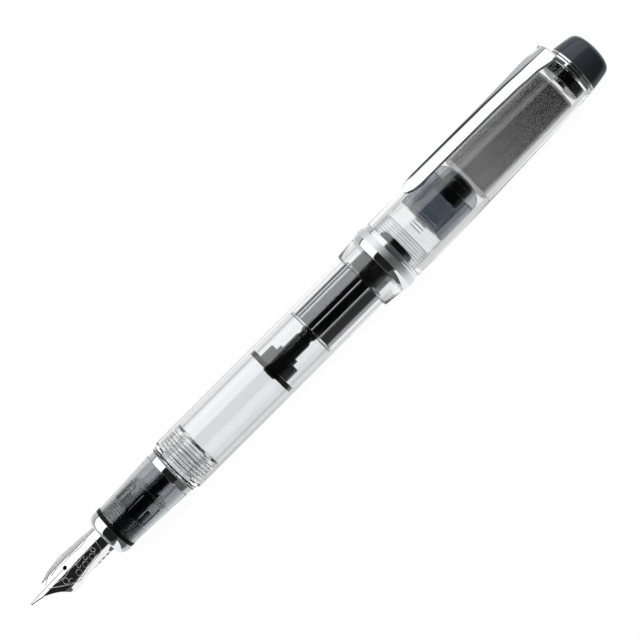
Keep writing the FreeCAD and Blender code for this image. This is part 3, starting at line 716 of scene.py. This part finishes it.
# ------------------------------------------------------------------------ cap
def make_cap():
    body = [
        (11.3, 5.50), (11.3, 5.68), (11.45, 5.80), (15.08, 6.06), (15.08, 5.90), (18.82, 5.90), (18.82, 6.13),
    ]
    body += [tuple(p) for p in curve_through([(19.2, 6.13), (26.2, 6.12), (35.5, 5.92), (45.8, 5.58),
                                              (55.8, 5.27), (60.6, 5.00)])]
    body += [(60.6, 1.8), (60.3, 1.8), (60.3, 4.10), (57.2, 4.24), (36.1, 4.66), (36.1, 5.04), (26.0, 5.04),
             (11.45, 5.36)]
    turned("cap_body", body, "cap", "clear_plastic", ["cap_body"], ease=0.05)
    band = [(15.1, 5.92), (15.1, 6.18)]
    crown = [(15.2, 6.24), (15.6, 6.34), (16.2, 6.40), (16.9, 6.37), (17.5, 6.27)]
    band += [tuple(p) for p in curve_through(crown)]
    band += [(17.75, 6.25), (17.83, 6.17), (17.92, 6.17), (18.0, 6.25), (18.25, 6.25), (18.33, 6.17)]
    band += [(18.42, 6.17), (18.5, 6.24), (18.7, 6.24), (18.8, 6.16), (18.8, 5.92)]
    turned("cap_band", band, "cap", "band_chrome", ["cap_band"], ease=0.03, sharp=25)
    liner = [(36.1, 4.06), (36.1, 4.60), (36.15, 4.64), (39.6, 4.57), (39.7, 4.52), (57.2, 4.20), (57.2, 0.0),
             (56.9, 0.0), (56.9, 3.59), (39.7, 3.98), (39.5, 3.86), (36.4, 3.90)]
    turned("inner_cap", liner, "cap", "smoke_liner", ["inner_cap"])
    insert = [(58.6, 1.36), (58.6, 3.95)]
    insert += ridges(58.7, 60.2, 0.48, 3.80, 4.06)
    insert += [(60.28, 3.95), (60.28, 1.36)]
    turned("cap_insert", insert, "cap", "black_plastic", ["cap_insert"], ease=0.04)
    turned("clip_ring", [(60.62, 1.7), (60.62, 5.05), (61.35, 5.05), (61.35, 1.7)],
           "cap", "polished_chrome", ["clip_ring"], ease=0.14)
    turned("cap_gasket", [(61.37, 1.7), (61.37, 4.80), (61.48, 4.80), (61.48, 1.7)],
           "cap", "seal_rubber", ["cap_gasket"], ease=0.02)
    turned("trim_ring", [(61.5, 1.7), (61.5, 4.97), (61.88, 4.97), (61.88, 1.7)],
           "cap", "polished_chrome", ["trim_ring"], ease=0.10)
    dome = [(61.9, 4.90), (63.0, 4.76), (64.4, 4.54), (65.5, 4.30), (66.05, 4.02), (66.45, 3.50),
            (66.75, 2.60), (66.95, 1.30), (67.0, 0.0)]
    finial = [tuple(p) for p in curve_through(dome)]
    finial[-1] = (67.0, 0.0)
    finial += [(64.8, 0.0), (64.8, 1.62), (61.9, 1.62)]
    turned("finial", finial, "cap", "navy_plastic", ["finial"], ease=0.08)
    keep_cad("finial_stud", "nib_steel")


# ------------------------------------------------------------------------ nib
# (x, radius of the arch, height of its top line) of the nib's curved sheet
NIB_STATIONS = [
    (-44.0, 2.90, 2.90),
    (-53.0, 2.90, 2.88),
    (-59.8, 3.70, 2.66),
    (-64.2, 3.30, 2.34),
    (-67.0, 2.60, 2.05),
]


def smooth_table(table, x):
    """Reads a table of rows that start with x, with smooth joins between the rows."""
    rows = sorted(table)
    x = min(max(x, rows[0][0]), rows[-1][0])
    spot = max(i for i in range(len(rows) - 1) if rows[i][0] <= x)
    a, b = rows[spot], rows[spot + 1]
    share = (x - a[0]) / (b[0] - a[0])
    share = share * share * (3 - 2 * share)
    return [a[k] * (1 - share) + b[k] * share for k in range(1, len(a))]


def on_nib(x, degrees, lift=0.0):
    """A point in metres on the nib's face; degrees go from its middle line towards -Y."""
    radius, top = smooth_table(NIB_STATIONS, x)
    angle = math.radians(degrees)
    side = -(radius + lift) * math.sin(angle)
    rise = top - radius + (radius + lift) * math.cos(angle)
    y = side * math.cos(NIB_ROLL) - rise * math.sin(NIB_ROLL)
    z = side * math.sin(NIB_ROLL) + rise * math.cos(NIB_ROLL)
    return Vector((x * MM, y * MM, (AXIS_HEIGHT + z) * MM))


def engrave(name, strokes, width):
    """Draws strokes of (x, degrees) points on both halves of the nib."""
    paths = []
    for stroke in strokes:
        for half in (1, -1):
            paths.append([on_nib(x, half * degrees, 0.0) for x, degrees in stroke])
    bead(name, paths, width, "section", "engraving", sides=6)


def along(points, count):
    """Evenly spaced points on the straight runs through the given ones."""
    result = []
    for (x0, a0), (x1, a1) in zip(points, points[1:]):
        result += [(x0 + (x1 - x0) * i / count, a0 + (a1 - a0) * i / count) for i in range(count)]
    return result + [points[-1]]


def loop(x, degrees, size, start=0.0, sweep=360.0):
    """An arc or circle drawn on the nib's face, which curves with a radius of about 3.2."""
    radius = 3.2
    steps = 18
    points = []
    for i in range(steps + 1):
        turn = math.radians(start + sweep * i / steps)
        across = math.degrees(size * math.sin(turn) / radius)
        points.append((x + size * math.cos(turn), degrees + across))
    return points


def make_nib():
    keep_cad("nib", "nib_steel")
    border = along([(-62.7, 7.0), (-60.6, 30.0), (-57.9, 56.0), (-55.0, 55.5), (-52.4, 53.0), (-51.6, 44.0),
                    (-51.2, 4.0)], 10)
    inner = along([(-57.5, 50.0), (-55.0, 49.5), (-52.7, 47.5)], 8)
    engrave("nib_border", [border], 0.07)
    strokes = [inner]
    for i in range(3):
        strokes.append(loop(-57.0 + 1.75 * i, 39.0, 0.50))
        strokes.append(loop(-56.2 + 1.75 * i, 26.0, 0.34, 20, 250))
    strokes.append(loop(-59.6, 27.0, 0.48))
    strokes.append(loop(-58.9, 37.0, 0.36, 90, 270))
    wave = [(-60.9, 14.0), (-59.4, 17.5), (-57.6, 13.5), (-55.8, 17.5), (-54.0, 13.5), (-52.4, 17.0)]
    strokes.append(along(wave, 6))
    strokes.append(along([(-52.9, 40.0), (-52.2, 30.0), (-52.5, 20.0)], 6))
    engrave("nib_scrolls", strokes, 0.055)
    # black lines in the nib's slit and along the near cut edge of its tip: painted shade
    slit = [on_nib(-66.6 + 8.5 * i / 40, 0.0, -0.03) for i in range(41)]
    edge = [on_nib(-66.7 + 2.6 * i / 12, 4.0 + 10.0 * i / 12, -0.02) for i in range(13)]
    bead("slit_painted_shade", [slit], 0.06, "section", "black_plastic", sides=6)
    bead("tip_edge_shade", [edge], 0.09, "section", "black_plastic", sides=6)


# ----------------------------------------------------------------------- clip
CLIP_SHEET = 0.66
CLIP_TIP_X = 26.5
CLIP_TIP_LENGTH = 3.6           # of the rounded free end
CLIP_TIP_HALF = 1.62            # half the width where the rounded end begins
CLIP_ROOT_X = 60.2
CLIP_ROOT_HALF = 2.60
CLIP_ROOT_TOP = 7.76
CLIP_ROOT_FALL = 0.84
CLIP_BEND = 0.42                # radius of the outer face round the bend at the root
CLIP_LEG_FALL = 0.30
CLIP_LEG_END = 5.17             # radius of the leg's end, just outside the clip ring
# (x, half width, height of the crown above the axis, fall from crown to edge, lean towards -Y in degrees)
CLIP_STATIONS = [
    (CLIP_TIP_X, 0.0, 7.58, 0.0, 4.0),
    (30.1, CLIP_TIP_HALF, 7.60, 0.055, 4.0),
    (36.0, 1.60, 7.62, 0.06, 4.0),
    (46.0, 1.63, 7.64, 0.08, 4.0),
    (51.0, 1.80, 7.67, 0.12, 3.6),
    (55.9, 2.12, 7.70, 0.24, 2.4),
    (CLIP_ROOT_X, CLIP_ROOT_HALF, CLIP_ROOT_TOP, CLIP_ROOT_FALL, 0.0),
]
# the bead under the clip's free end: middle, half length, half width and depth
FOOT_X = 29.7
FOOT_HEIGHT = 6.78              # of its widest line above the axis
FOOT_HALF_LENGTH = 2.2
FOOT_HALF_WIDTH = 1.50
FOOT_DEPTH = 0.60


def clip_width(x):
    """Half the clip's width; its free end is half an ellipse."""
    short = CLIP_TIP_X + CLIP_TIP_LENGTH - x
    if short > 0:
        return CLIP_TIP_HALF * math.sqrt(max(0.0, 1 - (short / CLIP_TIP_LENGTH) ** 2))
    return smooth_table(CLIP_STATIONS, x)[0]


def clip_loop(width, fall, sheet):
    """Cross-section of the clip as (across, out) points round its sheet, crown at (0, 0)."""
    edge = min(0.11, width * 0.4)
    flat = width - edge
    points = [(flat * (i / 10 - 1), -fall * (i / 10 - 1) ** 2) for i in range(21)]
    low = points[-1][1]
    for i in range(1, 5):
        turn = math.radians(90 - 24 * i)
        points.append((flat + edge * math.cos(turn), low - edge + edge * math.sin(turn)))
    under = flat - 0.12
    points.append((flat + 0.02, low - sheet + 0.08))
    points.append((under, low - sheet))
    points.append((0.0, -sheet * 0.8))
    points.append((-under, low - sheet))
    points.append((-flat - 0.02, low - sheet + 0.08))
    for i in range(4, 0, -1):
        turn = math.radians(90 - 24 * i)
        points.append((-flat - edge * math.cos(turn), low - edge + edge * math.sin(turn)))
    return points


def clip_ring(bm, points):
    return [bm.verts.new((x * MM, y * MM, (AXIS_HEIGHT + z) * MM)) for x, y, z in points]


def clip_arm(bm):
    """The arched blade, from its rounded free end to its root."""
    rings = []
    straight_x = CLIP_TIP_X + CLIP_TIP_LENGTH
    xs = [CLIP_TIP_X + CLIP_TIP_LENGTH * (1 - math.cos(math.pi / 2 * i / 12)) for i in range(1, 13)]
    xs += [straight_x + (CLIP_ROOT_X - straight_x) * i / 60 for i in range(1, 61)]
    for x in xs:
        crown, fall, degrees = smooth_table(CLIP_STATIONS, x)[1:]
        lean = math.radians(degrees)
        points = []
        for across, out in clip_loop(clip_width(x), fall, CLIP_SHEET):
            y = across * math.cos(lean) - out * math.sin(lean)
            z = crown + out * math.cos(lean) + across * math.sin(lean)
            points.append((x, y, z))
        rings.append(clip_ring(bm, points))
    return rings


def clip_leg(bm):
    """The bend at the root, and the leg that goes down to the clip ring."""
    rings = []
    for i in range(1, 9):
        share = i / 8
        turn = math.pi / 2 * share
        fall = CLIP_ROOT_FALL * (1 - share) + CLIP_LEG_FALL * share
        points = []
        for across, out in clip_loop(CLIP_ROOT_HALF, fall, CLIP_SHEET):
            reach = CLIP_BEND + out
            droop = CLIP_LEG_FALL * share * (across / CLIP_ROOT_HALF) ** 2
            x = CLIP_ROOT_X + reach * math.sin(turn)
            points.append((x, across, CLIP_ROOT_TOP - CLIP_BEND + reach * math.cos(turn) - droop))
        rings.append(clip_ring(bm, points))
    for share in (0.4, 0.8, 1.0):
        points = []
        for across, out in clip_loop(CLIP_ROOT_HALF, CLIP_LEG_FALL * (1 - share), CLIP_SHEET):
            x = CLIP_ROOT_X + CLIP_BEND + out + CLIP_BEND * share
            start = CLIP_ROOT_TOP - CLIP_BEND - CLIP_LEG_FALL * (across / CLIP_ROOT_HALF) ** 2
            foot = math.sqrt(CLIP_LEG_END ** 2 - min(abs(across), CLIP_ROOT_HALF) ** 2)
            points.append((x, across, start * (1 - share) + foot * share))
        rings.append(clip_ring(bm, points))
    return rings


def make_clip():
    bm = bmesh.new()
    rings = clip_arm(bm) + clip_leg(bm)
    for ring, following in zip(rings, rings[1:]):
        for k in range(len(ring)):
            j = (k + 1) % len(ring)
            bm.faces.new((ring[k], ring[j], following[j], following[k]))
    bm.faces.new(rings[0])
    bm.faces.new(rings[-1])
    bmesh.ops.recalc_face_normals(bm, faces=bm.faces)
    mesh = bpy.data.meshes.new("clip")
    bm.to_mesh(mesh)
    bm.free()
    finish_piece(mesh, "clip", "clip", "polished_chrome", ["clip"], 40)
    make_clip_foot()


def make_clip_foot():
    """The boat-shaped bead under the clip's free end, a hair above the cap."""
    bm = bmesh.new()
    bmesh.ops.create_uvsphere(bm, u_segments=32, v_segments=20, radius=1.0)
    for vert in bm.verts:
        x, y, z = vert.co
        height = AXIS_HEIGHT + FOOT_HEIGHT + FOOT_DEPTH * min(z, 0.1)
        vert.co = ((FOOT_X + FOOT_HALF_LENGTH * x) * MM, FOOT_HALF_WIDTH * y * MM, height * MM)
    mesh = bpy.data.meshes.new("clip_foot")
    bm.to_mesh(mesh)
    bm.free()
    finish_piece(mesh, "clip_foot", "clip", "polished_chrome", [], 40)


def main():
    make_camera()
    make_world()
    make_floor()
    make_section()
    make_converter()
    make_barrel()
    make_cap()
    make_nib()
    make_clip()
    scene = bpy.context.scene
    scene.view_settings.view_transform = "Standard"
    scene.cycles.max_bounces = 24
    scene.cycles.transmission_bounces = 24
    scene.cycles.glossy_bounces = 8


main()
